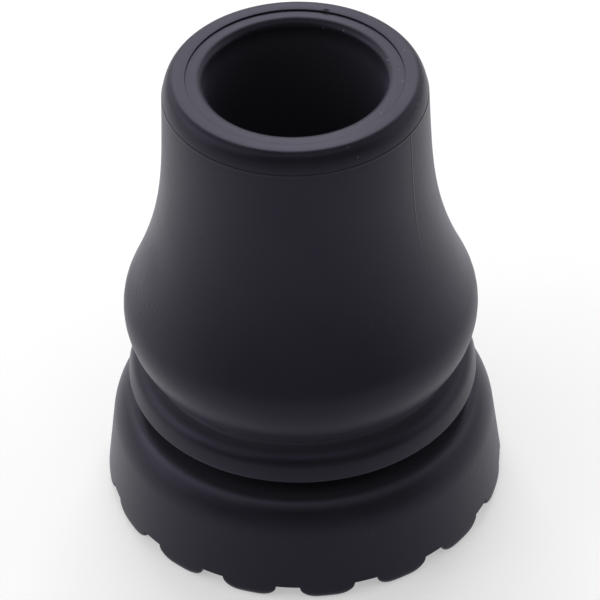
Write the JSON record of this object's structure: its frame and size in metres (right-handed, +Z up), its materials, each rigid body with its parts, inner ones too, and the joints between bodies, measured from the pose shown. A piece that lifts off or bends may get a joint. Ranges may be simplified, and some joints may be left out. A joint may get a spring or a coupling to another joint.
{
  "type": "rubber cane tip",
  "caption": "Push-on rubber tip for a walking cane: round blind socket, flared neck over a bulge, flex groove and a wide ribbed base that grips the ground.",
  "frame": {"origin": "centre of the tread on the ground plane, under the socket's axis", "axes": "+Z up along the socket's axis, from the ground to the socket's mouth; +X passes through the middle of one tread lug"},
  "size_m": [0.0446, 0.0446, 0.055],
  "materials": {
    "black_rubber": "satin moulded black rubber with a faint mould seam"
  },
  "bodies": {
    "root": {"rubber_tip": "black_rubber"}
  },
  "joints": []
}
